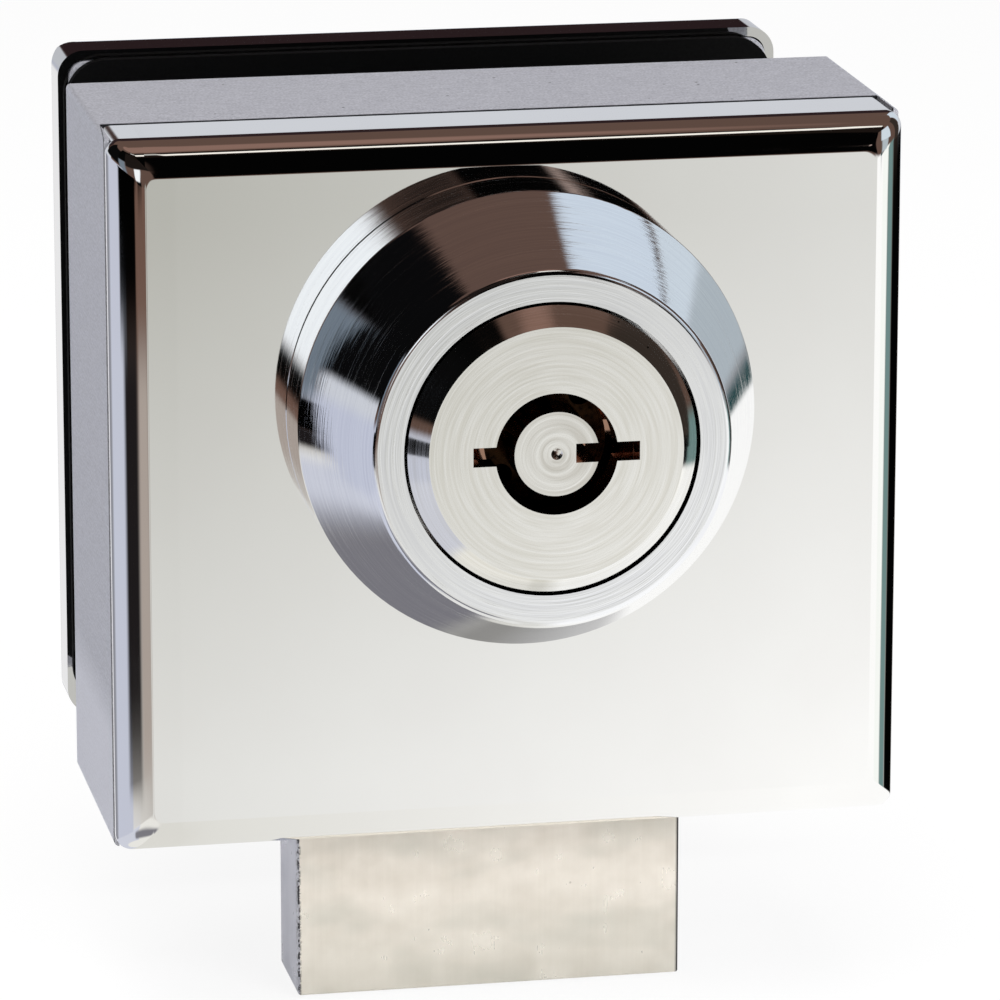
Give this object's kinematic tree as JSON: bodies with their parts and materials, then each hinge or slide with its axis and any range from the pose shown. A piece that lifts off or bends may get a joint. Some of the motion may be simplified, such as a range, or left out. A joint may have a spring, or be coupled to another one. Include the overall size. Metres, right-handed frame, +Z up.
{
  "type": "glass cabinet door lock",
  "caption": "Clamp-on lock for a glass cabinet door: polished square body, conical collar with a round-key cylinder, and a square bolt that slides down out of the case.",
  "frame": {"origin": "on the key cylinder's axis, at the plane where the front half's gasket seats on the glass", "axes": "+Y into the glass, away from the key; +X to the right seen from the key side; +Z up, away from the bolt"},
  "size_m": [0.0636, 0.0632, 0.0734],
  "materials": {
    "polished_steel": "mirror-polished stainless sheet",
    "satin_zinc": "satin grey zinc casting",
    "steel_plate": "zinc-plated sheet steel",
    "plated_screw": "zinc-plated steel",
    "chrome_plate": "chrome plate over fine turning marks",
    "nickel_plate": "nickel plate over turning marks",
    "brass": "turned brass",
    "spring_steel": "drawn spring wire",
    "nickel_bolt": "warm nickel plate, brushed and pitted",
    "black_rubber": "black rubber sheet",
    "black_nylon": "moulded nylon",
    "black_screw": "black oxide steel"
  },
  "bodies": {
    "housing": {"front_cover": "polished_steel", "case": "satin_zinc", "case_lid": "steel_plate", "lid_screws": "plated_screw", "bolt_keeper": "steel_plate", "keeper_screws": "plated_screw", "collar": "chrome_plate", "cylinder_shell": "nickel_plate", "nut_washer": "steel_plate", "ring_nut": "brass", "pin_housing": "brass", "housing_pin": "plated_screw", "driver_pins": "brass", "pin_springs": "spring_steel", "front_gasket": "black_rubber", "screw_sleeves": "black_nylon", "rear_gasket": "black_rubber", "clamp_plate": "satin_zinc", "clamp_screws": "black_screw", "rear_cover": "polished_steel"},
    "plug": {"spindle": "nickel_plate", "tumbler_drum": "brass", "drum_pin": "plated_screw", "key_pins": "brass", "pinion": "brass", "pinion_nut": "plated_screw"},
    "bolt": {"bolt": "nickel_bolt"}
  },
  "joints": [
    {"name": "bolt_slide", "type": "slide", "parent": "housing", "child": "bolt", "axis": [0, 0, 1], "range_m": [0, 0.01571]},
    {"name": "key_turn", "type": "hinge", "parent": "housing", "child": "plug", "pos_m": [0, 0, 0], "axis": [0, -1, 0], "range_deg": [0, 180]}
  ],
  "couplings": [
    {"joint": "key_turn", "follows": "bolt_slide", "rad_per_m": 200}
  ]
}
